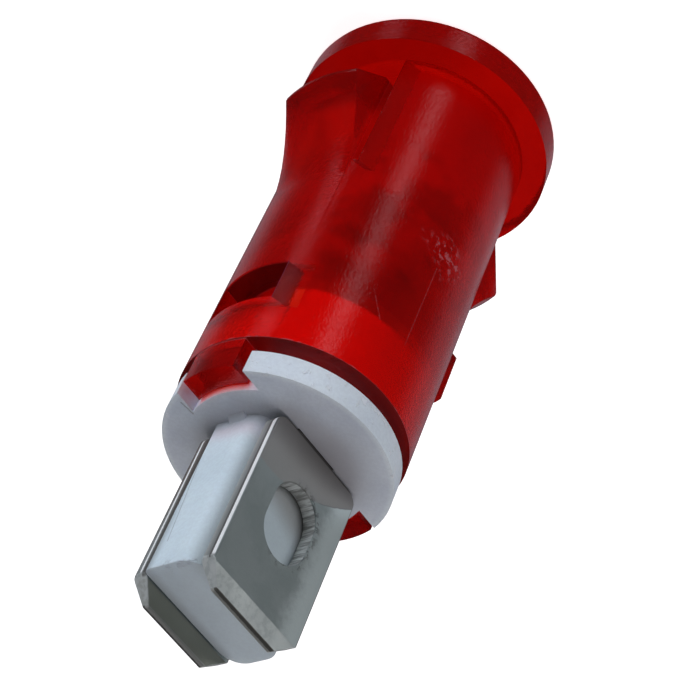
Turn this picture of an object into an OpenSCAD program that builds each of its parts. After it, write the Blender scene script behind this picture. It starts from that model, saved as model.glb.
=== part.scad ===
// Snap-in neon panel indicator, 12 mm cut-out, with two 6.3 mm quick-connect tabs.
// It stands on its lens face: Z runs from the lens face to the tab tips.
// X is the thickness of the tabs, Y their width.

/* [Lens head] */
// Diameter of the head that covers the panel cut-out
head_d = 14.5; // [13.5:0.1:17]
// Thickness of the head, lens face to panel face
head_h = 2.2; // [1.8:0.1:3]
// Rounding of the front edge of the head
head_round = 0.5; // [0.2:0.1:0.8]
// Thickness of the lens face
face_t = 1.3; // [0.8:0.1:1.5]
// Radius that joins the lens face to the barrel wall inside
face_round = 1; // [0.4:0.1:1.5]

/* [Barrel] */
// Outside diameter of the barrel
barrel_d = 11.8; // [11:0.1:12.8]
// Length of the barrel wall behind the head
barrel_l = 22.4; // [21:0.1:26]
// Wall of the barrel
wall = 1.2; // [0.9:0.05:1.4]
// Width of the two tongues that run on past the wall
tongue_w = 3.1; // [2:0.1:4]
// Length of the tongues past the wall
tongue_l = 1.95; // [1:0.05:2.2]

/* [Snap fingers] */
// Width of a finger
finger_w = 4.8; // [3.5:0.1:5.2]
// Width of the saw slots beside a finger
slot_w = 0.35; // [0.3:0.05:0.8]
// Length of the slots, measured from the head
slot_l = 8.8; // [7.5:0.1:9.5]
// Length of the window between the head and the free end of a finger
finger_gap = 1.95; // [0.2:0.05:2.2]
// Distance from the head at which both fingers have run out into the barrel
finger_run = 10; // [9:0.1:11]
// Rise of the thin-panel finger's tip above the barrel
tip_rise_a = 1.98; // [1.2:0.02:2.2]
// Rise of its free end above the barrel
heel_rise_a = 0.2; // [0:0.05:1.2]
// Distance of its tip from the head
tip_reach_a = 3.6; // [2.5:0.1:4.5]
// Rise of the thick-panel finger's tip above the barrel
tip_rise_b = 1.55; // [1:0.05:2]
// Rise of its free end above the barrel
heel_rise_b = 0.05; // [0:0.05:0.8]
// Distance from the head at which its ramp starts to rise
ramp_reach_b = 2.4; // [0.8:0.1:4]
// Distance of its tip from the head
tip_reach_b = 5.6; // [4.6:0.1:6.5]
// Length of the straight land behind each tip
tip_land = 0.25; // [0.1:0.05:0.5]

/* [Latch pockets and key] */
// Width of the pocket sunk into each side of the barrel
pocket_w = 4.3; // [3:0.1:4.8]
// Sideways offset of the pockets from the middle of the fingers
pocket_shift = -0.35; // [-0.5:0.05:0.5]
// Height of a pocket along the barrel
pocket_h = 2.6; // [1.6:0.1:3]
// Distance of the pockets from the head
pocket_reach = 16.9; // [16:0.1:18]
// Depth of a pocket
pocket_depth = 1.4; // [0.8:0.05:1.6]
// Wall left under a pocket, which stands in the bore as the seating ridge
ridge_t = 0.5; // [0.4:0.05:0.7]
// Width of the flat key pad on one side
key_w = 4.8; // [3:0.1:5.2]
// Length of the key pad along the barrel
key_l = 3.6; // [2:0.1:4.4]
// Distance of the key pad from the head
key_reach = 11.9; // [11:0.1:12.3]
// Height of the pad's flat above the barrel at its middle
key_rise = 0.2; // [0.1:0.05:0.4]
// Bevel at the pad's tail end
key_bevel = 0.5; // [0.2:0.05:0.8]

/* [Terminal base] */
// Clearance of the base in the barrel, on the radius
base_clear = 0.08; // [0.04:0.02:0.16]
// Length of the spigot inside the barrel
spigot_l = 4.4; // [4:0.1:5]
// Thickness of the two rim ears
ear_t = 1.4; // [1:0.05:1.8]
// Gap between the end of the barrel wall and the ears
ear_gap = 0.85; // [0.3:0.05:1]
// Clearance between an ear and a tongue
ear_clear = 0.5; // [0.1:0.05:0.6]
// Diameter over the two ears
ear_d = 11.6; // [11:0.1:11.8]
// Thickness of the blade that keeps the two tabs apart
blade_t = 3.2; // [2.4:0.1:3.6]
// Width of the blade
blade_w = 6.75; // [6.4:0.05:7.2]
// Length of the blade behind the ears
blade_l = 9.25; // [7:0.05:10]
// Offset of the blade and the tabs from the axis, along their width
tail_shift = -0.35; // [-0.5:0.05:0.3]
// Small rounding of the blade's long corners
blade_round = 0.3; // [0.2:0.05:0.6]
// Large rounding of the corners beside one tab and of the far edge
blade_soft = 1.1; // [0.6:0.05:1.4]
// Height of the fillet at the foot of the blade
blade_fillet = 0.3; // [0.1:0.05:0.5]

/* [Terminals] */
// Width of a quick-connect tab
tab_w = 6.3; // [4.8:0.1:6.5]
// Thickness of a tab
tab_t = 0.8; // [0.5:0.05:1]
// Length of a tab behind the ears
tab_l = 10.2; // [9.8:0.1:12]
// Air between each tab and the blade beside it or the face under it
tab_air = 0.05; // [0.02:0.01:0.12]
// Rounding of the shoulders that stand on the base
tab_shoulder = 0.8; // [0.4:0.05:1.2]
// Corner cut at the tab's tip
tab_corner = 1.05; // [0.5:0.05:1.4]
// Length of the lead-in bevel at the tip
tab_bevel = 0.85; // [0.4:0.05:1.2]
// Thickness left at the tip, each side bevelled alike
tab_tip_t = 0.35; // [0.25:0.05:0.45]
// Bevel of the tab's long edges
tab_edge = 0.12; // [0.05:0.01:0.15]
// Width of the hole in a tab
hole_w = 3; // [1.6:0.1:3.4]
// Length of the hole along the tab
hole_l = 4.2; // [3.5:0.1:5]
// Distance from the tip to the middle of the hole
hole_reach = 5.75; // [4.5:0.05:6.5]
// Clearance of a terminal in the base
slot_clear = 0.03; // [0.02:0.01:0.08]
// Width of the soldering tail inside the barrel
tail_w = 2.8; // [2.4:0.1:3.4]
// Length of the soldering tail past the spigot
tail_l = 1.8; // [1.4:0.1:2.2]

/* [Neon lamp] */
// Diameter of the glass
glass_d = 3.8; // [3.2:0.1:4]
// Length of the glass, tip to pinch end
glass_l = 8.4; // [7.4:0.1:8.8]
// Wall of the glass
glass_t = 0.3; // [0.2:0.05:0.4]
// Length of the sealed-off tip
glass_tip = 0.6; // [0.3:0.05:0.8]
// Length of the pinch that seals the wires in
pinch_l = 1.4; // [1:0.05:1.8]
// Thickness of the pinch
pinch_t = 1.3; // [1:0.05:1.6]
// Gap between the pinch and the spigot
lamp_gap = 4.2; // [3.8:0.1:5]
// Place of the lamp's axis along the tab thickness
lamp_x = 0.9; // [0.7:0.05:1.2]
// Place of the lamp's axis along the tab width
lamp_y = -1.8; // [-2.1:0.05:-1.6]
// Diameter of an electrode rod
electrode_d = 0.8; // [0.6:0.05:1]
// Length of an electrode rod
electrode_l = 4; // [3:0.1:4.4]
// Distance between the two electrodes
electrode_pitch = 1.3; // [1.1:0.05:1.5]

/* [Resistor and wires] */
// Diameter of all wires
wire_d = 0.5; // [0.4:0.05:0.6]
// Inside-to-centre radius of the small bends
bend_r = 0.5; // [0.4:0.05:0.6]
// Angle through which a wire is jogged sideways
jog_a = 75; // [60:1:85]
// Diameter of the resistor at its end bells
resistor_d = 2.2; // [1.8:0.1:2.4]
// Diameter of the resistor at its waist
resistor_waist = 1.9; // [1.6:0.1:2.1]
// Length of the resistor body
resistor_l = 6.3; // [5.5:0.1:6.5]
// Length of an end bell
bell_l = 1.4; // [1:0.1:1.8]
// Rounding of the end bells
bell_round = 0.4; // [0.2:0.05:0.6]
// Place of the resistor's axis along the tab thickness
resistor_x = 0.9; // [0.6:0.05:1]
// Place of the resistor's axis along the tab width
resistor_y = 2.3; // [2.2:0.05:2.5]
// Gap between the resistor and the spigot
resistor_gap = 4.1; // [3.7:0.1:4.6]
// Width of the loop that brings the resistor's lead back up
loop_w = 1.5; // [1.4:0.05:1.6]
// Straight wire left at each end of a body before it is bent
straight_l = 0.3; // [0.2:0.05:0.5]
// Outside diameter of the insulating sleeve
sleeve_d = 1.1; // [0.9:0.05:1.2]
// Clearance of a wire in its glass seal, sleeve or solder
wire_clear = 0.02; // [0.01:0.01:0.04]
// Place of the two soldered wire ends along the width of the tails
solder_y = 1; // [0.7:0.05:1.1]
// Radius of the solder on a soldering tail
solder_r = 0.6; // [0.45:0.05:0.7]
// Length of the solder on a soldering tail
solder_l = 1.1; // [0.8:0.05:1.3]
// Length of the splice between lamp wire and resistor wire
splice_l = 0.9; // [0.6:0.05:1]

/* [Hidden] */

$fn = 64;

// Small overlap that makes a cut run cleanly past a face
cut = 0.5;
// Hair by which a straight wire runs into a bend, and a bend is thicker than it
lap = 0.01;
arc_steps = 8;

barrel_r = barrel_d / 2;
bore_r = barrel_r - wall;
head_r = head_d / 2;
wall_end = head_h + barrel_l;
tongue_end = wall_end + tongue_l;

// Terminal base, counted from the end of the barrel wall
ear_lo = wall_end + ear_gap;
ear_hi = ear_lo + ear_t;
spigot_r = bore_r - base_clear;
spigot_lo = wall_end - spigot_l;
blade_hi = ear_hi + blade_l;

// Pocket, its ridge in the bore and the seat of the spigot on that ridge
pocket_lo = head_h + pocket_reach;
pocket_hi = pocket_lo + pocket_h;
pocket_r = barrel_r - pocket_depth;
ridge_r = pocket_r - ridge_t;
ridge_w = pocket_w + 2 * ridge_t;

// Terminals
tab_x = blade_t / 2 + tab_air;
tab_tip = ear_hi + tab_l;
hole_z = tab_tip - hole_reach;
tail_lo = spigot_lo - tail_l;

tab_foot = ear_hi + tab_air;

// Soldered wire ends lie along the inner faces of the soldering tails
wire_r = wire_d / 2;
wire_x = tab_x - wire_r - wire_clear;
wire_end = spigot_lo - wire_clear;

// Lamp
glass_r = glass_d / 2;
glass_hi = spigot_lo - lamp_gap;
glass_lo = glass_hi - glass_l;
pinch_lo = glass_hi - pinch_l;
electrode_x = electrode_pitch / 2;
electrode_hi = pinch_lo - glass_t;
electrode_lo = electrode_hi - electrode_l;

// Resistor, its looped lead and the splice
resistor_hi = spigot_lo - resistor_gap;
resistor_lo = resistor_hi - resistor_l;
loop_y = resistor_y - loop_w;
splice_x = resistor_x - wire_d - 3 * wire_clear;

// Wire ends as [x, y]
lamp_end_a = [lamp_x + electrode_x, lamp_y];
lamp_end_b = [lamp_x - electrode_x, lamp_y];
tail_end_a = [wire_x, -solder_y];
tail_end_b = [-wire_x, solder_y];
resistor_end = [resistor_x, resistor_y];
splice_end = [splice_x, loop_y];
jog_lo = glass_hi + straight_l;
splice_lo = jog_lo + jog_height(lamp_end_b, splice_end);

// Straight run between the two bends of a jog, and the height the jog takes up
function jog_run(from, to) = (norm(to - from) - 2 * bend_r * (1 - cos(jog_a))) / sin(jog_a);
function jog_height(from, to) = 2 * bend_r * sin(jog_a) + jog_run(from, to) * cos(jog_a);

// Points of an arc about a centre, as [radius, height]
function arc(cx, cz, r, a0, a1) =
    [for (i = [0 : arc_steps]) let (a = a0 + (a1 - a0) * i / arc_steps)
        [cx + r * cos(a), cz + r * sin(a)]];

// Keeps what lies within a width about the Y axis, on the side given by its sign
module side_slab(width, side, shift = 0) {
    intersection() {
        children();
        translate([shift - width / 2, side > 0 ? 0 : -head_d, -cut])
            cube([width, head_d, tab_tip]);
    }
}

module ring(r_in, r_out, lo, hi) {
    rotate_extrude()
        polygon([[r_in, lo], [r_out, lo], [r_out, hi], [r_in, hi]]);
}

// Straight wire that runs a hair into the bends at its ends
module wire(at, lo, hi) {
    translate([at[0], at[1], lo - lap]) cylinder(r = wire_r, h = hi - lo + 2 * lap, $fn = 24);
}

// Bend that starts at the origin heading +Z and turns towards +X
module bend(turn) {
    translate([bend_r, 0, 0]) rotate([90, 0, 0]) rotate([0, 0, 180 - turn])
        rotate_extrude(angle = turn)
            translate([bend_r, 0]) circle(r = wire_r + lap, $fn = 24);
}

// Two opposite bends that carry a rising wire sideways
module jog(from, to, lo) {
    side = norm(to - from);
    translate([from[0], from[1], lo]) rotate([0, 0, atan2(to[1] - from[1], to[0] - from[0])]) {
        bend(jog_a);
        translate([bend_r * (1 - cos(jog_a)), 0, bend_r * sin(jog_a)]) rotate([0, jog_a, 0])
            translate([0, 0, -lap]) cylinder(r = wire_r, h = jog_run(from, to) + 2 * lap, $fn = 24);
        translate([side, 0, jog_height(from, to)]) rotate([0, 180, 0]) bend(jog_a);
    }
}

// ---- Lens housing: head, barrel, fingers, pockets, key pad and tongues ----

module housing_skin() {
    rotate_extrude()
        polygon(concat(
            [[0, 0]],
            arc(head_r - head_round, head_round, head_round, -90, 0),
            [[head_r, head_h], [barrel_r, head_h], [barrel_r, tongue_end], [0, tongue_end]]));
}

module housing_bore() {
    rotate_extrude()
        polygon(concat(
            [[0, face_t]],
            arc(bore_r - face_round, face_t + face_round, face_round, -90, 0),
            [[bore_r, tongue_end + cut], [0, tongue_end + cut]]));
}

// Wedge of one finger: holding ramp up to the tip, then a hollow lead-in down to the barrel
module finger(side, heel_rise, ramp_reach, tip_rise, reach) {
    lo = head_h + finger_gap;
    tip = head_h + reach;
    run_end = head_h + finger_run;
    ramp = run_end - tip - tip_land;
    side_slab(finger_w, side)
        rotate_extrude()
            polygon(concat(
                [[bore_r, lo], [barrel_r + heel_rise, lo],
                 [barrel_r + heel_rise, max(lo + lap, head_h + ramp_reach)],
                 [barrel_r + tip_rise, tip]],
                [for (i = [0 : arc_steps]) let (t = i / arc_steps)
                    [barrel_r + tip_rise * pow(1 - t, 1.7), tip + tip_land + ramp * t]],
                [[bore_r, run_end]]));
}

// U-shaped cut that frees a finger from the wall and from the head
module finger_cut(side) {
    reach = head_r;
    y0 = side > 0 ? bore_r / 2 : -bore_r / 2 - reach;
    for (x = [-finger_w / 2 - slot_w, finger_w / 2])
        translate([x, y0, head_h]) cube([slot_w, reach, slot_l]);
    translate([-finger_w / 2 - slot_w, y0, head_h])
        cube([finger_w + 2 * slot_w, reach, finger_gap]);
}

module key_pad() {
    base_y = sqrt(pow(barrel_r, 2) - pow(key_w / 2, 2)) - wall / 2;
    top_y = barrel_r + key_rise;
    lo = head_h + key_reach;
    translate([-key_w / 2, 0, 0]) rotate([90, 0, 90])
        linear_extrude(key_w)
            polygon([[-base_y, lo], [-top_y, lo], [-top_y, lo + key_l - key_bevel],
                     [-top_y + key_bevel / 2, lo + key_l], [-base_y, lo + key_l]]);
}

module ear_notches() {
    for (side = [-1, 1])
        translate([side > 0 ? tongue_w / 2 : -tongue_w / 2 - barrel_d, -barrel_d, wall_end])
            cube([barrel_d, 2 * barrel_d, tongue_l + cut]);
}

module lens_housing() {
    color([0.8, 0.02, 0.02, 0.75]) difference() {
        union() {
            difference() {
                union() {
                    housing_skin();
                    finger(1, heel_rise_a, finger_gap, tip_rise_a, tip_reach_a);
                    finger(-1, heel_rise_b, ramp_reach_b, tip_rise_b, tip_reach_b);
                    key_pad();
                }
                housing_bore();
            }
            for (side = [-1, 1])
                side_slab(ridge_w, side, pocket_shift)
                    ring(ridge_r, bore_r + wall / 2, pocket_lo - ridge_t, pocket_hi);
        }
        for (side = [-1, 1]) {
            side_slab(pocket_w, side, pocket_shift)
                ring(pocket_r, barrel_r + cut, pocket_lo, pocket_hi);
            finger_cut(side);
        }
        ear_notches();
    }
}

// ---- Terminal base: spigot, ears and blade ----

module base_disc() {
    cylinder(r = spigot_r, h = ear_hi - ear_lo);
    difference() {
        cylinder(d = ear_d, h = ear_hi - ear_lo);
        translate([-tongue_w / 2 - ear_clear, -barrel_d, -cut])
            cube([tongue_w + 2 * ear_clear, 2 * barrel_d, ear_t + 2 * cut]);
    }
}

// Flats let the nose of the spigot pass the ridges; the shoulders seat on them
module spigot() {
    flat_y = ridge_r - base_clear;
    difference() {
        translate([0, 0, spigot_lo]) cylinder(r = spigot_r, h = ear_lo - spigot_lo);
        for (y = [flat_y, -flat_y - barrel_d])
            translate([-barrel_d / 2, y, spigot_lo - cut])
                cube([barrel_d, barrel_d, pocket_hi - spigot_lo + cut]);
    }
}

// What is cut away to round one long corner of the blade
module blade_corner(x, y, r) {
    translate([x * (blade_t / 2 - r), y * (blade_w / 2 - r), -cut]) difference() {
        translate([x > 0 ? 0 : -r - cut, y > 0 ? 0 : -r - cut, 0])
            cube([r + cut, r + cut, blade_l + 3 * cut]);
        translate([0, 0, -cut]) cylinder(r = r, h = blade_l + 5 * cut);
    }
}

module blade() {
    translate([0, tail_shift, ear_hi - cut]) difference() {
        translate([-blade_t / 2, -blade_w / 2, 0]) cube([blade_t, blade_w, blade_l + cut]);
        blade_corner(-1, 1, blade_round);
        blade_corner(1, 1, blade_soft);
        blade_corner(1, -1, blade_soft);
        blade_corner(-1, -1, blade_soft);
    }
    for (y = [-1, 1])
        translate([-blade_t / 2 + blade_soft, tail_shift + y * blade_w / 2, ear_hi])
            rotate([90, 0, 90])
                linear_extrude(blade_t - 2 * blade_soft)
                    polygon([[-y * cut, 0], [y * blade_fillet, 0], [0, blade_fillet],
                             [-y * cut, blade_fillet]]);
}

// Slot through which the soldering tail of a terminal passes
module base_slot(x) {
    translate([x - slot_clear, -tail_w / 2 - slot_clear, spigot_lo - cut])
        cube([tab_t + 2 * slot_clear, tail_w + 2 * slot_clear, ear_hi - spigot_lo + 2 * cut]);
}

module terminal_base() {
    color([0.93, 0.93, 0.95]) difference() {
        union() {
            translate([0, 0, ear_lo]) base_disc();
            spigot();
            blade();
        }
        for (x = [tab_x, -tab_x - tab_t]) base_slot(x);
    }
}

// ---- Terminals ----

// Outline across the width: rounded shoulders on the base, corners cut at the tip,
// and a narrow soldering tail
module tab_outline() {
    w = tab_w / 2;
    r = tab_shoulder;
    translate([tail_shift, 0])
        polygon(concat(
            arc(w - r, tab_foot + r, r, -90, 0),
            [[w, tab_tip - tab_corner], [w - tab_corner, tab_tip],
             [-w + tab_corner, tab_tip], [-w, tab_tip - tab_corner]],
            arc(-w + r, tab_foot + r, r, 180, 270)));
    translate([-tail_w / 2, tail_lo]) square([tail_w, tab_foot - tail_lo + cut]);
}

// Section through the thickness, with the lead-in bevel at the tip
module tab_side() {
    slope = (tab_t - tab_tip_t) / 2;
    polygon([[0, tail_lo - cut], [tab_t, tail_lo - cut], [tab_t, tab_tip - tab_bevel],
             [tab_t - slope, tab_tip], [slope, tab_tip], [0, tab_tip - tab_bevel]]);
}

// Section across the tab, with its long edges bevelled
module tab_section() {
    w = tab_w / 2;
    translate([0, tail_shift])
        polygon([[tab_edge, -w], [tab_t - tab_edge, -w], [tab_t, -w + tab_edge],
                 [tab_t, w - tab_edge], [tab_t - tab_edge, w], [tab_edge, w],
                 [0, w - tab_edge], [0, -w + tab_edge]]);
}

module tab_hole() {
    span = (hole_l - hole_w) / 2;
    translate([-cut, tail_shift, hole_z]) rotate([0, 90, 0]) {
        for (s = [-span, span])
            translate([s, 0, 0]) cylinder(d = hole_w, h = tab_t + 2 * cut);
        translate([-span, -hole_w / 2, 0]) cube([2 * span, hole_w, tab_t + 2 * cut]);
    }
}

module terminal() {
    difference() {
        intersection() {
            rotate([90, 0, 90]) linear_extrude(tab_t) tab_outline();
            translate([0, tab_w, 0]) rotate([90, 0, 0]) linear_extrude(2 * tab_w) tab_side();
            translate([0, 0, tail_lo]) linear_extrude(tab_tip - tail_lo) tab_section();
        }
        tab_hole();
    }
}

module terminal_a() {
    color([0.62, 0.64, 0.62]) translate([tab_x, 0, 0]) terminal();
}

module terminal_b() {
    color([0.62, 0.64, 0.62]) mirror([1, 0, 0]) translate([tab_x, 0, 0]) terminal();
}

// ---- Neon lamp ----

// Solid of revolution from a round nose down to the pinch
module bulb_solid(r, lo, hi) {
    rotate_extrude()
        polygon(concat([[0, lo]], arc(0, lo + r, r, -80, 0), [[r, hi], [0, hi]]));
}

module bulb_glass() {
    nose = glass_lo + glass_tip;
    color([0.85, 0.8, 0.75, 0.5]) translate([lamp_x, lamp_y, 0]) difference() {
        union() {
            bulb_solid(glass_r, nose, pinch_lo);
            translate([0, 0, glass_lo]) cylinder(r1 = glass_tip / 3, r2 = glass_tip, h = 2 * glass_tip);
            translate([-glass_r + glass_t, -pinch_t / 2, pinch_lo - glass_t])
                cube([glass_d - 2 * glass_t, pinch_t, pinch_l + glass_t]);
        }
        bulb_solid(glass_r - glass_t, nose + glass_tip, pinch_lo - glass_t);
        for (x = [-electrode_x, electrode_x])
            translate([x, 0, electrode_hi - cut])
                cylinder(r = wire_r + wire_clear, h = pinch_l + 4 * cut, $fn = 24);
    }
}

module electrode(at) {
    translate([at[0], at[1], electrode_lo]) cylinder(d = electrode_d, h = electrode_l, $fn = 32);
}

module electrode_a() {
    color([0.7, 0.7, 0.72]) electrode(lamp_end_a);
}

module electrode_b() {
    color([0.7, 0.7, 0.72]) electrode(lamp_end_b);
}

module bulb_lead_a() {
    color([0.75, 0.55, 0.4]) {
        wire(lamp_end_a, electrode_hi, jog_lo);
        jog(lamp_end_a, tail_end_a, jog_lo);
        wire(tail_end_a, jog_lo + jog_height(lamp_end_a, tail_end_a), wire_end);
    }
}

module bulb_lead_b() {
    color([0.75, 0.55, 0.4]) {
        wire(lamp_end_b, electrode_hi, jog_lo);
        jog(lamp_end_b, splice_end, jog_lo);
        wire(splice_end, splice_lo, splice_lo + splice_l);
    }
}

// ---- Resistor, sleeve and joints ----

module resistor_body() {
    r = resistor_d / 2;
    color([0.35, 0.2, 0.15]) translate([resistor_x, resistor_y, 0]) rotate_extrude()
        polygon(concat(
            [[0, resistor_lo]],
            arc(r - bell_round, resistor_lo + bell_round, bell_round, -90, 0),
            [[r, resistor_lo + bell_l - bell_round], [resistor_waist / 2, resistor_lo + bell_l],
             [resistor_waist / 2, resistor_hi - bell_l], [r, resistor_hi - bell_l + bell_round]],
            arc(r - bell_round, resistor_hi - bell_round, bell_round, 0, 90),
            [[0, resistor_hi]]));
}

// Lead that loops round below the body and comes back up to the splice
module resistor_lead_a() {
    loop_lo = resistor_lo - straight_l;
    color([0.75, 0.75, 0.75]) {
        wire(resistor_end, loop_lo, resistor_lo);
        translate([resistor_x, resistor_y, loop_lo]) rotate([180, 0, -90]) bend(90);
        translate([resistor_x, loop_y, loop_lo]) rotate([180, 0, 90]) bend(90);
        translate([resistor_x, resistor_y - bend_r, loop_lo - bend_r]) rotate([90, 0, 0])
            wire([0, 0], 0, loop_w - 2 * bend_r);
        wire([resistor_x, loop_y], loop_lo, splice_lo + splice_l);
    }
}

module resistor_lead_b() {
    lo = resistor_hi + straight_l;
    color([0.75, 0.75, 0.75]) {
        wire(resistor_end, resistor_hi, lo);
        jog(resistor_end, tail_end_b, lo);
        wire(tail_end_b, lo + jog_height(resistor_end, tail_end_b), wire_end);
    }
}

// Sleeve slipped over the straight part of the looped lead, beside the resistor
module lead_sleeve() {
    lo = resistor_lo + bell_l;
    color([0.9, 0.9, 0.85]) translate([resistor_x, loop_y, lo]) difference() {
        cylinder(d = sleeve_d, h = resistor_l - 2 * bell_l);
        translate([0, 0, -cut])
            cylinder(r = wire_r + wire_clear, h = resistor_l, $fn = 24);
    }
}

// Solder that fills in between a wire and the inner face of a soldering tail
module tail_solder(at) {
    lo = spigot_lo - solder_l - wire_r;
    difference() {
        translate([at[0], at[1], lo]) cylinder(r = solder_r, h = solder_l, $fn = 32);
        translate([tab_x, at[1] - solder_r - cut, lo - cut])
            cube([solder_r + cut, 2 * (solder_r + cut), solder_l + 2 * cut]);
        translate([at[0], at[1], lo - cut])
            cylinder(r = wire_r + wire_clear / 2, h = solder_l + 2 * cut, $fn = 24);
    }
}

module solder_joint_a() {
    color([0.72, 0.73, 0.75]) tail_solder(tail_end_a);
}

module solder_joint_b() {
    color([0.72, 0.73, 0.75]) rotate([0, 0, 180]) tail_solder(tail_end_a);
}

module splice_joint() {
    color([0.72, 0.73, 0.75]) difference() {
        translate([(resistor_x + splice_x) / 2, loop_y, splice_lo + wire_clear])
            cylinder(r = wire_d + wire_r, h = splice_l - 2 * wire_clear, $fn = 32);
        for (x = [resistor_x, splice_x])
            translate([x, loop_y, splice_lo - cut])
                cylinder(r = wire_r + wire_clear / 2, h = splice_l + 2 * cut, $fn = 24);
    }
}

lens_housing();
terminal_base();
terminal_a();
terminal_b();
bulb_glass();
electrode_a();
electrode_b();
bulb_lead_a();
bulb_lead_b();
resistor_body();
resistor_lead_a();
resistor_lead_b();
lead_sleeve();
solder_joint_a();
solder_joint_b();
splice_joint();
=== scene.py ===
import math

import bmesh
import bpy
from mathutils import Matrix, Vector


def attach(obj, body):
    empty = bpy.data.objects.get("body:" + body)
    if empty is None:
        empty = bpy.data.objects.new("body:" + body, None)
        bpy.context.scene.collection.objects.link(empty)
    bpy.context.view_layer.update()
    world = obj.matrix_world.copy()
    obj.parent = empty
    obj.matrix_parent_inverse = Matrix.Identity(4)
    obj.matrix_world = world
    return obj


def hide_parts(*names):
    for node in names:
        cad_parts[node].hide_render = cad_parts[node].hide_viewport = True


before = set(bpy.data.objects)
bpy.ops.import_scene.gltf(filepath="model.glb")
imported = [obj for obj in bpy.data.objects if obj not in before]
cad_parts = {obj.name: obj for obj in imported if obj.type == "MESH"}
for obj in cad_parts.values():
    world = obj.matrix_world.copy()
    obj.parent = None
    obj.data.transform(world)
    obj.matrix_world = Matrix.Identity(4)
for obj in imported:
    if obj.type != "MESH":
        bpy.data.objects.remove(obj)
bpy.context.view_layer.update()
scene = bpy.context.scene
scene.view_settings.view_transform = "Standard"


# Lamp glass: a drawn soda-lime tube, sealed flat round its wires at the tab end.
# It hangs in the barrel on its own two leads, with a faint soot on the inside.
class Shade:
    """A material under construction, and the sockets of its nodes as values."""

    def __init__(self, name):
        self.material = bpy.data.materials.new(name)
        self.material.use_nodes = True
        self.tree = self.material.node_tree
        self.tree.nodes.clear()
        self.output = self.tree.nodes.new("ShaderNodeOutputMaterial")
        self.where = self.node("TexCoord", out="Object")

    def node(self, kind, settings=None, out=0, **inputs):
        """A new node, as its output out. Inputs go by name, or as i0, i1 by place."""
        made = self.tree.nodes.new("ShaderNode" + kind)
        for key, value in (settings or {}).items():
            setattr(made, key, value)
        for key, value in inputs.items():
            name = key.replace("_", " ")
            found = made.inputs[int(name[1:])] if name[1:].isdigit() else made.inputs[name]
            if isinstance(value, Socket):
                self.tree.links.new(value.socket, found)
            else:
                found.default_value = value
        return Socket(self, made.outputs[out])

    def finish(self, surface):
        self.tree.links.new(surface.socket, self.output.inputs["Surface"])
        return self.material


class Socket:
    """One output socket; arithmetic on it adds Math nodes."""

    def __init__(self, shade, socket):
        self.shade, self.socket = shade, socket

    def math(self, operation, a, b=0.0):
        return self.shade.node("Math", {"operation": operation}, i0=a, i1=b)

    def __add__(self, other): return self.math("ADD", self, other)
    def __radd__(self, other): return self.math("ADD", other, self)
    def __sub__(self, other): return self.math("SUBTRACT", self, other)
    def __rsub__(self, other): return self.math("SUBTRACT", other, self)
    def __mul__(self, other): return self.math("MULTIPLY", self, other)
    def __rmul__(self, other): return self.math("MULTIPLY", other, self)
    def __pow__(self, other): return self.math("POWER", self, other)


def rise(value, low, high):
    """0 up to low, 1 from high on, smooth between; low may be the larger."""
    ends = dict(From_Min=low, From_Max=high) if low < high else dict(
        From_Min=high, From_Max=low, To_Min=1.0, To_Max=0.0)
    return value.shade.node("MapRange", {"interpolation_type": "SMOOTHSTEP"}, Value=value, **ends)


def blend(factor, a, b):
    """Colour a where the factor is 0 and b where it is 1. A Mix node has its colours
    at the places 6 and 7, and the mixed colour at 2."""
    a, b = [c if isinstance(c, Socket) else (*c, 1.0) for c in (a, b)]
    return factor.shade.node("Mix", {"data_type": "RGBA"}, out=2, i0=factor, i6=a, i7=b)


def cloud(shade, pitch, detail=3.0, stretch=(1.0, 1.0, 1.0)):
    """Noise with features of about the given pitch in millimetres."""
    scale_at_1_mm = 500.0
    spot = shade.node("Mapping", Vector=shade.where, Scale=stretch)
    return shade.node("TexNoise", Vector=spot, Scale=scale_at_1_mm / pitch, Detail=detail,
                      Roughness=0.6)


def relief(height, depth):
    """A bump whose full height is the given depth in millimetres."""
    return height.shade.node("Bump", Height=height, Strength=1.0, Distance=depth / 1000.0)


def dress(node_name, material):
    """Give a CAD node its finished material."""
    made = bpy.data.objects[node_name]
    made.data.materials.clear()
    made.data.materials.append(material)


clean_glass, sooty_glass = (0.95, 0.93, 0.90), (0.70, 0.62, 0.55)
shade = Shade("lamp glass")
soot = rise(cloud(shade, 1.2), 0.45, 0.75)
ripple = cloud(shade, 0.6, 2.0, (1.0, 1.0, 0.2))
glass = shade.node("BsdfPrincipled", Base_Color=blend(soot, clean_glass, sooty_glass),
                   Roughness=0.03 + 0.05 * soot, IOR=1.5, Transmission_Weight=1.0,
                   Normal=relief(ripple, 0.004))
dress("bulb_glass", shade.finish(glass))

# Electrodes: two nickel rods side by side inside the glass, held by the leads that
# are welded to them, and greyed in patches by the discharge.
along_wire = (1.0, 1.0, 0.1)
bright_nickel, grey_nickel = (0.60, 0.57, 0.52), (0.30, 0.28, 0.27)
shade = Shade("nickel rod")
drawn = cloud(shade, 0.15, 3.0, along_wire)
greyed = rise(cloud(shade, 0.5), 0.4, 0.65)
nickel = shade.node("BsdfPrincipled", Base_Color=blend(greyed, bright_nickel, grey_nickel),
                    Metallic=1.0, Roughness=0.28 + 0.2 * drawn, Normal=relief(drawn, 0.006))
nickel_rod = shade.finish(nickel)
dress("electrode_a", nickel_rod)
dress("electrode_b", nickel_rod)

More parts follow.
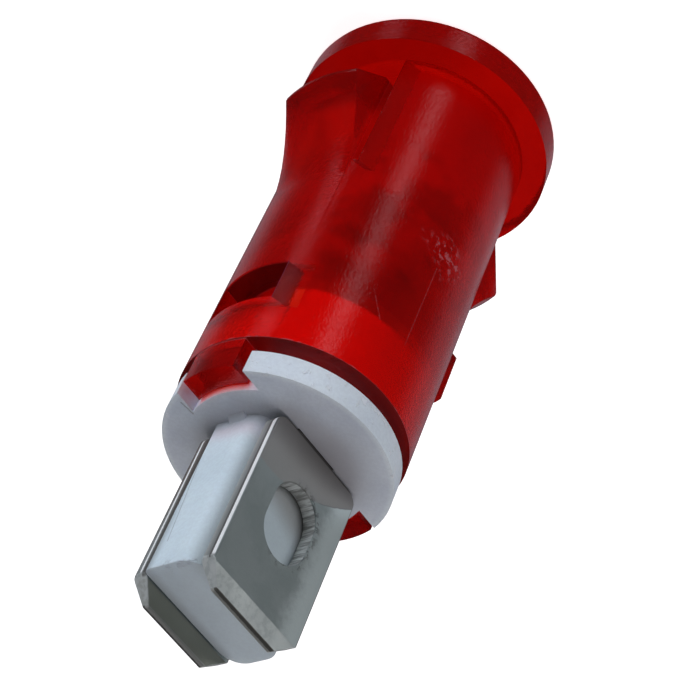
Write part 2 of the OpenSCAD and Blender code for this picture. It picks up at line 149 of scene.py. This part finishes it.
# Lamp leads: tinned copper wire, one to the first tab and one to the resistor.
# Bent over a pin, with drawing lines along the wire and dull patches.
bright_wire, dull_wire = (0.68, 0.66, 0.62), (0.42, 0.36, 0.30)
shade = Shade("tinned copper wire")
drawn = cloud(shade, 0.12, 3.0, along_wire)
dull = rise(cloud(shade, 0.8), 0.4, 0.65)
wire = shade.node("BsdfPrincipled", Base_Color=blend(dull, bright_wire, dull_wire),
                  Metallic=1.0, Roughness=0.25 + 0.25 * dull, Normal=relief(drawn, 0.005))
lead_wire = shade.finish(wire)
dress("bulb_lead_a", lead_wire)
dress("bulb_lead_b", lead_wire)


# Resistor: carbon film on a ceramic rod under tan lacquer, dipped, so that the
# coat bulges over the end caps. Four painted bands give its value.
def axes(shade):
    """The three coordinates in millimetres."""
    parts = shade.node("SeparateXYZ", Vector=shade.where)
    return [Socket(shade, parts.socket.node.outputs[i]) * 1000.0 for i in range(3)]


def size_of(value):
    """The value without its sign."""
    return value.math("ABSOLUTE", value)


thin_lacquer, thick_lacquer = (0.56, 0.38, 0.22), (0.46, 0.29, 0.16)
painted_bands = ((14.9, (0.16, 0.06, 0.02)), (14.1, (0.05, 0.22, 0.08)),
                 (13.3, (0.75, 0.55, 0.04)), (11.3, (0.55, 0.36, 0.10)))
shade = Shade("resistor lacquer")
z = axes(shade)[2]
dip = cloud(shade, 0.9, 2.0)
coat = blend(rise(dip, 0.35, 0.7), thin_lacquer, thick_lacquer)
uneven = 0.25 * dip
for band_z, paint in painted_bands:
    coat = blend(rise(size_of(z - band_z) + uneven, 0.40, 0.34), coat, paint)
lacquer = shade.node("BsdfPrincipled", Base_Color=coat, Roughness=0.3 + 0.15 * dip,
                     Normal=relief(dip, 0.03))
dress("resistor_body", shade.finish(lacquer))

# Resistor leads: the same wire, one straight up to the second tab and one looped
# back beside the body to meet the lamp lead.
dress("resistor_lead_a", lead_wire)
dress("resistor_lead_b", lead_wire)

# Sleeve: a cut length of white fluoroplastic tube, extruded, and pushed over the
# looped lead so that it can't touch the lamp's other lead.
milk_white, waxy_white = (0.82, 0.82, 0.78), (0.70, 0.70, 0.66)
shade = Shade("fluoroplastic sleeve")
milky = cloud(shade, 0.7)
die_lines = cloud(shade, 0.1, 3.0, along_wire)
sleeve = shade.node("BsdfPrincipled",
                    Base_Color=blend(rise(milky, 0.35, 0.7), milk_white, waxy_white),
                    Roughness=0.35 + 0.2 * milky, Normal=relief(die_lines, 0.006))
dress("lead_sleeve", shade.finish(sleeve))

# Splice: the lamp's second lead and the looped resistor lead, laid side by side and
# run full of solder, which froze dull in patches.
bright_solder, dull_solder = (0.60, 0.61, 0.62), (0.36, 0.36, 0.37)
shade = Shade("solder")
frozen = cloud(shade, 0.35)
dull = rise(frozen, 0.4, 0.7)
solder = shade.node("BsdfPrincipled", Base_Color=blend(dull, bright_solder, dull_solder),
                    Metallic=1.0, Roughness=0.22 + 0.3 * dull, Normal=relief(frozen, 0.03))
solder_metal = shade.finish(solder)
dress("splice_joint", solder_metal)


# Terminals: two tabs blanked from brass strip, tin plated, coined to a bevel round
# the tip and punched; pushed through the base from the tab side.
def softened(node_name, new_name, radius, segments, crease, flat=1.0):
    """A copy of a CAD node whose edges sharper than crease, in degrees, are rounded.
    Faces larger than flat, in square metres, keep an even shade to their borders."""
    weld, same_plane = 1e-7, math.radians(0.6)
    rounded_bend, flat_bend = math.radians(32), math.radians(0.5)
    bm = bmesh.new()
    bm.from_mesh(bpy.data.objects[node_name].data)
    bmesh.ops.remove_doubles(bm, verts=bm.verts, dist=weld)
    bmesh.ops.dissolve_limit(bm, angle_limit=same_plane, verts=bm.verts, edges=bm.edges)
    sharp = [edge for edge in bm.edges
             if len(edge.link_faces) == 2 and edge.calc_face_angle() > math.radians(crease)]
    bmesh.ops.bevel(bm, geom=sharp, offset=radius, offset_type="OFFSET", affect="EDGES",
                    segments=segments, profile=0.5, material=-1, clamp_overlap=True)
    for edge in bm.edges:
        if len(edge.link_faces) == 2:
            beside_flat = max(face.calc_area() for face in edge.link_faces) > flat
            edge.smooth = edge.calc_face_angle() < (flat_bend if beside_flat else rounded_bend)
    for face in bm.faces:
        face.smooth = True
    bmesh.ops.triangulate(bm, faces=[face for face in bm.faces if len(face.verts) > 4])
    mesh = bpy.data.meshes.new(new_name)
    bm.to_mesh(mesh)
    bm.free()
    piece = bpy.data.objects.new(new_name, mesh)
    scene.collection.objects.link(piece)
    even = piece.modifiers.new("even shading", "WEIGHTED_NORMAL")
    even.keep_sharp = True
    even.weight = 90
    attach(piece, "root")
    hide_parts(node_name)
    return piece


def larger(a, b):
    """The larger of two values, point by point; a is a socket."""
    return a.math("MAXIMUM", a, b)


tab_shift = 0.35                    # the tabs' middle lies this far toward -Y
half_spacing, pair_shift = 2.05, 0.2  # from each tab's middle, and the pair toward +X
side_start = 2.6                    # just short of the +Y side faces
hole_z, hole_straight, hole_radius = 31.3, 0.6, 1.5
disc_image_z, disc_image_bend, disc_image_y = 29.98, 0.083, 2.0
across_grain, along_grain = (0.1, 1.0, 1.0), (1.0, 1.0, 0.12)
painted_shade = (0.10, 0.09, 0.08)

# The masks: the hole's sheared wall, the disc's painted reflection in the plate, and
# the edges with their painted highlights and shade. Places are in millimetres, as
# everywhere in the materials.
shade = Shade("tin plate")
x, y, z = axes(shade)
outward = size_of(x)
across = size_of(y + tab_shift)
left = rise(x, 0.05, -0.05)         # 1 on tab b
right = 1.0 - left                  # 1 on tab a
mottle = rise(cloud(shade, 1.1, 5.0), 0.40, 0.66)
drawn = cloud(shade, 0.10, 3.0, along_grain)
grit = cloud(shade, 0.06, 2.0)
peel = cloud(shade, 0.16, 4.0)
torn = cloud(shade, 0.13, 4.0)
shear_lines = cloud(shade, 0.09, 4.0, across_grain)
past_hole = larger(size_of(z - hole_z) - hole_straight, 0.0)
hole_gap = ((y + tab_shift) ** 2.0 + past_hole ** 2.0) ** 0.5 - hole_radius
sheared = rise(hole_gap, 0.05, 0.01) * rise(outward, 2.42, 2.38)
crinkle = rise(hole_gap, 0.45, 0.05) * rise(y, 0.6, -0.4) * rise(outward, 2.3, 2.4)
# Painted reflection of the disc below this curve, greyer towards the root.
past_image = (z - disc_image_z + disc_image_bend * (y - disc_image_y) ** 2.0
              + 0.1 * (peel - 0.5))
disc_reflection = rise(past_image, 0.08, -0.08)
# A lighter painted reflection over rubbed tin, beside the disc's image.
rubbed_and_reflecting = rise(y + 0.5 * (mottle - 0.5) + 0.4 * (peel - 0.5), -1.6, -3.0)
rubbed_and_reflecting = rubbed_and_reflecting * rise(past_image, -0.02, 0.06)
# A painted dark line along the edge of the disc's reflection.
crease = rise(size_of(past_image), 0.07, 0.02) * rise(y, -1.2, -1.5)
# Painted shade along the plate's border and its root.
border = rise(across, 2.98, 3.08) * rise(y, 2.0, 1.0)
border = larger(border, rise(z, 27.02, 26.94))
inward = x - pair_shift - half_spacing * x.math("SIGN", x)
sideways = y - side_start
side_face = rise(sideways, 0.12, 0.18)
# A painted highlight along the rolled edges.
painted_highlight = rise(size_of(inward - 0.07), 0.09, 0.05) * rise(sideways, 0.04, 0.08) * right
left_line = size_of(inward + 0.25 - 0.012 * (z - 30.0))
painted_highlight = painted_highlight + left * side_face * rise(left_line, 0.07, 0.04)
painted_highlight = painted_highlight * rise(z + 0.3 * peel, 27.2, 27.6) * rise(z, 36.0, 35.8)
# Painted shade lines: beside tab a's highlight, in tab b's gap to the blade, on its outer edge.
shade_line = right * side_face * rise(size_of(inward + 0.08), 0.07, 0.03)
shade_line = shade_line + left * rise(sideways, 0.05, 0.15) * rise(inward, -0.12, -0.02)
shade_line = shade_line + left * side_face * rise(inward, -0.40, -0.47)
cut = rise(z + across, 39.06, 39.12)
band = rise(z + 0.05 * peel, 36.13, 36.22) * rise(z, 37.01, 36.97)
ends = rise(z + 0.03 * peel, 36.98, 37.02)
# A dark line on the tip's outer edge: a burr with a painted shadow.
end_line = ends * rise(outward + 0.12 * (peel - 0.5), 2.04, 2.10)

# The plate's colour, from the clean faces to the edges, with painted reflections,
# painted highlights and painted shade on them.
plate = blend(mottle, (0.40, 0.45, 0.44), (0.35, 0.40, 0.39))
plate = blend(rubbed_and_reflecting, plate, (0.72, 0.80, 0.78))
plate = blend(0.5 * crease, plate, (0.12, 0.12, 0.11))
disc_reflection_tone = blend(rise(z, 26.9, 29.8), (0.37, 0.35, 0.33), (0.41, 0.41, 0.39))
plate = blend(disc_reflection, plate, disc_reflection_tone)
plate = blend(0.6 * rise(torn, 0.5, 0.6) * crinkle, plate, (0.10, 0.10, 0.09))
# Tab a's side: a painted reflection of the nylon fading into painted shade.
right_side_reflection = blend(rise(inward, -0.6, -0.1), (0.56, 0.58, 0.56), (0.30, 0.31, 0.30))
plate = blend(side_face * right, plate, right_side_reflection)
# Tab b's side: darker towards the root.
left_side = blend(rise(z, 28.0, 35.0), (0.20, 0.17, 0.15), (0.33, 0.35, 0.34))
plate = blend(side_face * left, plate, left_side)
# The coined bevel, painted lighter on tab a as it catches the light, darker on tab b.
right_band = band * rise(x, 2.0, 2.1) * (0.6 + 0.4 * rise(peel, 0.35, 0.6))
plate = blend(right_band, plate, (0.66, 0.70, 0.68))
plate = blend(band * left, plate, (0.38, 0.39, 0.33))
plate = blend(cut * (0.55 + 0.45 * rise(peel, 0.4, 0.6)), plate, (0.70, 0.73, 0.71))
plate = blend(ends, plate, (0.55, 0.56, 0.53))
shear_tone = blend(rise(shear_lines, 0.38, 0.62), (0.90, 0.92, 0.89), (0.36, 0.36, 0.34))
plate = blend(sheared, plate, shear_tone)
plate = blend(0.75 * border, plate, painted_shade)
plate = blend(0.85 * end_line, plate, (0.09, 0.085, 0.07))
plate = blend(0.75 * shade_line, plate, painted_shade)
plate = blend(painted_highlight, plate, (1.0, 1.0, 0.98))
height = (0.35 * drawn + 0.35 * grit + 1.4 * crinkle * torn + 1.6 * sheared * shear_lines
          + 0.3 * rubbed_and_reflecting * peel + 0.6 * cut * peel)
bare = larger(larger(side_face, cut), sheared)
tin = shade.node("BsdfPrincipled", Base_Color=plate,
                 Metallic=0.65 * (1.0 - 0.5 * bare) * (1.0 - 0.9 * painted_highlight),
                 Roughness=0.34 + 0.10 * mottle + 0.1 * grit, Normal=relief(height, 0.02))
tin_plate = shade.finish(tin)
for side in "ab":
    tab = softened("terminal_" + side, "tab_" + side, radius=0.00005, segments=3,
                   crease=12, flat=5e-7)
    tab.data.materials.append(tin_plate)

# Solder joints: a fillet of solder on each terminal's tail, over the end of its
# wire, in the metal of the splice.
dress("solder_joint_a", solder_metal)
dress("solder_joint_b", solder_metal)


# Terminal base: disc with two ears, spigot and blade moulded in one from white
# nylon, pressed into the tail of the barrel. Burred at the rims, a little grimy, and
# painted with shade and light as the lamps fall on it.
def stroke(shade, start, end, width):
    """1 on the line from start to end, in millimetres, falling to 0 at its width."""
    start, end = Vector(start) / 1000, Vector(end) / 1000
    along = end - start
    run = shade.node("VectorMath", {"operation": "SUBTRACT"}, i0=shade.where, i1=start)
    share = shade.node("VectorMath", {"operation": "DOT_PRODUCT"}, out="Value",
                       i0=run, i1=along / along.length_squared)
    near = shade.node("VectorMath", {"operation": "SCALE"}, i0=along,
                      Scale=shade.node("Clamp", Value=share))
    gap = shade.node("VectorMath", {"operation": "DISTANCE"}, out="Value", i0=run, i1=near)
    return rise(gap, width / 1000, 0.0)


disc_top, blade_face = 26.85, 3.02  # in z, and in y
shade = Shade("white nylon")
x, y, z = axes(shade)
radius = (x ** 2.0 + y ** 2.0) ** 0.5
blotch = rise(cloud(shade, 1.6), 0.38, 0.68)
grain = cloud(shade, 0.09, 3.0)
chips = cloud(shade, 0.25, 3.0)
rim = rise(radius, 5.45, 5.72) * rise(z, 25.2, 25.4) * rise(z, 27.1, 26.9)
nicked = rim * rise(chips, 0.60, 0.68)
tip = rise(z, 35.75, 35.95) * rise(chips, 0.54, 0.64) * rise(y, 2.2, 2.7)
foot = rise(z + 0.6 * chips, 27.9, 27.1) * rise(radius, 4.6, 3.4)
scored = larger(stroke(shade, (-2.26, 4.83, disc_top), (-2.14, 4.03, disc_top), 0.07),
                stroke(shade, (-1.4, blade_face, 29.0), (-0.9, blade_face, 34.5), 0.03))
# Painted shade on the blade beside tab a, behind tab a's hole and on the disc's middle.
blade_right_shade = rise(x, 0.6, 1.65) * rise(z, 27.5, 28.5)
# The blade's left is darker towards its tip.
blade_left = rise(x, -0.9, -1.5) * rise(z, 30.5, 34.5)
under_tab_shade = rise(x, 1.45, 1.6) * rise(z + 0.3 * y, 31.3, 29.6) * rise(z, 28.0, 28.4)
disc_shadow = rise(z, 26.95, 26.86) * rise(radius, 6.0, 2.5) * rise(y, 2.0, -0.5)
# The nylon painted as lit and shaded: greyer and more violet on the disc, brighter up the blade.
shaded_disc_tone = blend(blotch, (0.76, 0.81, 0.88), (0.68, 0.73, 0.81))
lit_blade_tone = blend(blotch, (0.78, 0.90, 0.96), (0.73, 0.85, 0.91))
plastic = blend(rise(z, 27.2, 28.6), shaded_disc_tone, lit_blade_tone)
plastic = blend(0.8 * blade_right_shade, plastic, (0.52, 0.58, 0.58))
plastic = blend(0.95 * blade_left, plastic, (0.42, 0.48, 0.50))
plastic = blend(0.85 * under_tab_shade, plastic, (0.30, 0.29, 0.27))
plastic = blend(0.6 * disc_shadow, plastic, (0.36, 0.34, 0.35))
# The ear rims painted lighter, as they catch the light.
plastic = blend(0.5 * rim, plastic, (0.90, 0.97, 1.0))
plastic = blend(0.10 * rise(grain, 0.4, 0.6), plastic, (0.45, 0.45, 0.50))
# The blade's end face painted darker, as it is shaded.
plastic = blend(0.5 * rise(z, 36.0, 36.08), plastic, (0.52, 0.58, 0.62))
# Painted shade round the blade's foot.
plastic = blend(0.5 * foot, plastic, (0.52, 0.50, 0.52))
plastic = blend(0.5 * nicked, plastic, (0.95, 0.96, 1.0))
plastic = blend(0.65 * scored, plastic, (0.25, 0.24, 0.25))
plastic = blend(0.35 * tip, plastic, (0.45, 0.47, 0.52))
height = 0.5 * grain + 1.2 * nicked + 1.2 * tip + 0.5 * blotch - 0.8 * scored
white = shade.node("BsdfPrincipled", Base_Color=plastic, Roughness=0.40 + 0.15 * grain,
                   Subsurface_Weight=0.25, Subsurface_Radius=(0.0008, 0.0008, 0.0009),
                   Subsurface_Scale=1.0, Normal=relief(height, 0.03))
base = softened("terminal_base", "base_moulding", radius=0.00012, segments=3, crease=25)
base.data.materials.append(shade.finish(white))

# Lens housing: head, barrel, fingers, pockets and tongues moulded in one from
# translucent red polycarbonate, drawn off along the barrel. Scuffed by handling.
flange_z, pocket_floor_z, pocket_end_x, pocket_shift = 2.2, 19.1, 1.8, 0.35
slot_middle = 2.575                 # the slots beside a finger, from its middle
scuff_x, scuff_y, scuff_z = 5.6, 0.1, 14.2  # the scuff lies at -scuff_y
scratches = (((5.89, 0.28, 15.4), (5.89, 0.3, 21.1)),
             ((5.20, 2.78, 19.5), (5.40, 2.38, 20.3)),
             ((5.40, 2.38, 20.3), (5.55, 2.0, 21.0)),
             ((5.42, -2.33, 21.3), (5.50, -2.1, 21.8)),
             ((-1.56, 5.69, 12.5), (0.19, 5.90, 12.9)),
             ((1.29, 5.76, 12.7), (2.50, 5.34, 12.3)))
scratch_width = 0.05

# The masks: the end face, the pockets' walls, the slots and the bore, all with painted
# shade, and the scuffs.
shade = Shade("red polycarbonate")
x, y, z = axes(shade)
radius = (x ** 2.0 + y ** 2.0) ** 0.5
sparkle = cloud(shade, 0.07, 2.0)
frost = rise(cloud(shade, 0.06, 2.0), 0.40, 0.60)
flow = cloud(shade, 1.5, 3.0, (1.0, 1.0, 0.3))
chips = cloud(shade, 0.18, 3.0)
bore = rise(radius, 4.95, 4.75)
# Painted shade: dark blotches in the bore, in place of the inner parts' shadows.
painted_inner_shade = rise(cloud(shade, 2.2, 3.0), 0.46, 0.62) * rise(z, 7.0, 9.5) * rise(z, 18.5, 16.5)
# Painted shade round the flange's root, on one side.
flange_root_shade = rise(size_of(z - flange_z), 0.05, 0.02) * rise(radius, 5.75, 5.95)
flange_root_shade = flange_root_shade * rise(x - y, 5.0, -1.0)
burr = rise(z + 0.12 * chips, 24.56, 24.62) * rise(z, 24.75, 24.7)
burr = burr * rise(radius, 5.5, 5.7) * rise(chips, 0.55, 0.62)
# The tail's end face, painted dark as it is shaded.
shaded_end_face = rise(z, 24.55, 24.59) * rise(z, 24.75, 24.65) * rise(radius, 4.6, 4.7)
tongues = rise(z, 24.65, 24.75)
# The wall over the spigot, painted brighter as if lit from behind by the nylon.
round_spigot = rise(z, 20.1, 20.3) * rise(z, 24.6, 24.5)
outside_bore = rise(radius, 4.4, 4.6)
# The pocket's end wall, painted dark as shaded, with a painted purple sheen.
shaded_pocket_end = rise(size_of(x - pocket_end_x), 0.04, 0.01) * outside_bore
shaded_pocket_end = shaded_pocket_end * rise(z, 19.0, 19.1) * rise(z, 21.8, 21.7)
# The pocket's floor, painted dark as shaded.
shaded_pocket_floor = rise(size_of(z - pocket_floor_z), 0.06, 0.03) * outside_bore
shaded_pocket_floor = shaded_pocket_floor * rise(radius, 5.86, 5.80) * rise(size_of(x + pocket_shift), 2.2, 2.1)
slot = rise(size_of(size_of(x) - slot_middle), 0.20, 0.17) * rise(radius, 5.87, 5.82)
slot = slot * rise(radius, 4.72, 4.78) * rise(z, 2.0, 2.2) * rise(z, 13.0, 12.0)
scuff_gap = size_of(x - scuff_x) + size_of(y + scuff_y) * 0.7 + size_of(z - scuff_z) * 0.7
scuff = rise(cloud(shade, 0.2, 5.0), 0.52, 0.60) * rise(scuff_gap, 1.7, 0.8)
for start, end in scratches:
    scratch = 0.45 * stroke(shade, start, end, scratch_width) * rise(sparkle, 0.35, 0.6)
    scuff = larger(scuff, scratch)

# The dye seen through the wall, with painted shade in the bore, at the flange's root,
# in the pockets and on the end face, darker on the tongues, and painted brighter
# over the spigot.
dye = blend(rise(flow, 0.35, 0.7), (0.88, 0.004, 0.001), (0.74, 0.002, 0.001))
dye = blend(0.75 * painted_inner_shade * bore, dye, (0.16, 0.001, 0.001))
dye = blend(0.6 * flange_root_shade, dye, (0.30, 0.001, 0.001))
dye = blend(0.85 * shaded_pocket_floor, dye, (0.16, 0.001, 0.001))
dye = blend(0.9 * shaded_pocket_end, dye, (0.12, 0.012, 0.04))
dye = blend(0.6 * shaded_end_face, dye, (0.30, 0.002, 0.001))
dye = blend(0.7 * tongues, dye, (0.34, 0.002, 0.001))
dye = blend(round_spigot, dye, (1.0, 0.008, 0.001))
height = 1.8 * sparkle + 2.0 * chips * shaded_pocket_end + 1.5 * burr + 1.5 * scuff
body = shade.node("BsdfPrincipled", Base_Color=dye,
                  Roughness=0.09 + 0.05 * flow + 0.03 * frost + 0.18 * bore + 0.30 * slot,
                  IOR=1.45, Specular_IOR_Level=0.25, Transmission_Weight=0.92,
                  Normal=relief(height, 0.012))

# Where the skin is scuffed, burred or matt, it scatters the light instead of passing
# it. The slots, pockets and end face take a dark matte here as painted shade.
recess_shade = blend(shaded_pocket_floor, (0.36, 0.003, 0.002), (0.10, 0.001, 0.001))
matte = blend(shaded_end_face, (0.62, 0.16, 0.18), (0.17, 0.003, 0.002))
matte = blend(larger(slot, shaded_pocket_floor), matte, recess_shade)
matte = blend(shaded_pocket_end, matte, (0.10, 0.008, 0.06))
frosted = shade.node("BsdfPrincipled", Base_Color=matte, Roughness=0.5,
                     Specular_IOR_Level=0.15)
broken_and_shaded = (0.55 * scuff + 0.3 * burr + 0.8 * shaded_end_face + 0.12 * slot + 0.7 * shaded_pocket_floor
          + 0.8 * shaded_pocket_end)
marked = shade.node("MixShader", i0=broken_and_shaded, i1=body, i2=frosted)
to_a_lamp = shade.node("LightPath", out="Is Shadow Ray")
stained_light = shade.node("BsdfTransparent", Color=(1.0, 0.16, 0.05, 1.0))
red = shade.node("MixShader", i0=to_a_lamp, i1=marked, i2=stained_light)
lens = softened("lens_housing", "lens_moulding", radius=0.00010, segments=2, crease=25)
lens.data.materials.append(shade.finish(red))

# Table top: a white sheet under the lens face, white to the camera, fainter through
# the lens and nearly clear in reflections. It keeps the part's shadow and casts none,
# so that the low lamps shine up past it.
table_half, table_drop = 1.5, 0.00003
shade = Shade("white table")
diffuse = shade.node("BsdfDiffuse", Color=(0.8, 0.8, 0.8, 1))
glow = shade.node("Emission", Color=(1, 1, 1, 1), Strength=0.9)
faint = shade.node("Emission", Color=(1, 0.97, 0.97, 1), Strength=0.42)
lit = shade.node("AddShader", i0=diffuse, i1=glow)
sheen = shade.node("AddShader", i0=shade.node("BsdfTransparent"),
                   i1=shade.node("Emission", Color=(1, 1, 1, 1), Strength=0.006))
reflected = shade.node("LightPath", out="Is Glossy Ray")
through = shade.node("LightPath", out="Is Transmission Ray")
seen = shade.node("LightPath", out="Is Camera Ray")
unlit = shade.node("MixShader", i0=reflected, i1=diffuse, i2=sheen)
unseen = shade.node("MixShader", i0=through, i1=unlit, i2=faint)
table_material = shade.finish(shade.node("MixShader", i0=seen, i1=unseen, i2=lit))
bm = bmesh.new()
bmesh.ops.create_grid(bm, x_segments=1, y_segments=1, size=table_half,
                      matrix=Matrix.Translation((0, 0, -table_drop)))
table_mesh = bpy.data.meshes.new("table")
bm.to_mesh(table_mesh)
bm.free()
table = bpy.data.objects.new("table", table_mesh)
scene.collection.objects.link(table)
table.data.materials.append(table_material)
table.visible_diffuse = False
table.visible_shadow = False

# Sky: a faint even light from all round, fainter still in reflections, so that the
# tin plate and the red wall stay dark between the lamps' own images.
sky_strength, reflected_sky_strength = 0.14, 0.02
world = bpy.data.worlds.new("studio")
scene.world = world
world.use_nodes = True
sky = world.node_tree.nodes["Background"]
sky.inputs["Color"].default_value = (0.9, 0.95, 1, 1)
ray = world.node_tree.nodes.new("ShaderNodeLightPath")
dimmer = world.node_tree.nodes.new("ShaderNodeMapRange")
dimmer.inputs["To Min"].default_value = sky_strength
dimmer.inputs["To Max"].default_value = reflected_sky_strength
world.node_tree.links.new(ray.outputs["Is Glossy Ray"], dimmer.inputs["Value"])
world.node_tree.links.new(dimmer.outputs["Result"], sky.inputs["Strength"])


# Lamps: wide ones that fill the shaded sides, and narrow ones whose reflections run
# along the barrel and down the tabs. All face the middle of the part.
def softbox(name, azimuth, height, far, width, tall, brightness, glossy, tint=(1, 1, 1)):
    """A soft lamp that faces the middle of the part; brightness is its own face's.
    Angles are in degrees, and glossy says whether it shows in reflections."""
    middle = Vector((0, 0, 0.018))
    turn, lift = math.radians(azimuth), math.radians(height)
    place = middle + far * Vector((math.cos(turn) * math.cos(lift),
                                   math.sin(turn) * math.cos(lift), math.sin(lift)))
    data = bpy.data.lights.new(name, "AREA")
    data.shape = "RECTANGLE"
    data.size, data.size_y = width, tall
    data.energy = brightness * math.pi * width * tall
    data.color = tint
    box = bpy.data.objects.new(name, data)
    scene.collection.objects.link(box)
    box.location = place
    box.rotation_euler = (middle - place).to_track_quat("-Z", "Y").to_euler()
    box.visible_glossy = glossy
    box.visible_transmission = glossy


cool, violet = (0.93, 0.98, 1.08), (1, 0.85, 1)
# Each line: name, azimuth, height, how far, width, tall, brightness, in reflections.
softbox("front fill", 95, -14, 0.40, 0.25, 0.25, 5.5, False, cool)
softbox("side fill", -8, -12, 0.40, 0.25, 0.25, 2.6, False, cool)
softbox("table lamp", -70, 75, 0.50, 0.30, 0.30, 2.4, False, (1.0, 0.95, 0.98))
softbox("back fill", 225, 12, 0.50, 0.30, 0.30, 2.2, False)
softbox("back sheen", 215, 5, 0.40, 0.12, 0.16, 0.8, True)
softbox("strip near", 38, -43, 0.35, 0.045, 0.16, 1.4, True, (0.97, 0.93, 1))
softbox("strip thin", 102, -43, 0.35, 0.012, 0.16, 2.2, True, violet)
softbox("strip left", 181, -43, 0.35, 0.17, 0.16, 0.22, True, violet)
softbox("strip right", -90, -43, 0.35, 0.24, 0.16, 0.18, True, violet)
softbox("strip far right", -121, -43, 0.35, 0.10, 0.16, 0.18, True, violet)
softbox("tab side", -27, -15, 0.35, 0.12, 0.09, 1.8, True)

# Camera: a long lens that looks down past the tabs, rolled so that they hang to the
# lower left. Its three directions are worked into one turn.
camera_place = (0.06195, 0.04581, 0.09051)
camera_right = Vector((0.77219, -0.56193, -0.29659))
camera_up = Vector((0.25474, 0.70140, -0.66569))
camera_back = camera_right.cross(camera_up)
cam_data = bpy.data.cameras.new("camera")
cam_data.lens = 110.1
cam_data.sensor_width = 36
cam_data.clip_start = 0.005
cam_data.clip_end = 10
camera = bpy.data.objects.new("camera", cam_data)
scene.collection.objects.link(camera)
camera.matrix_world = Matrix.Translation(camera_place) @ Matrix(
    (camera_right, camera_up, camera_back)).transposed().to_4x4()
scene.camera = camera
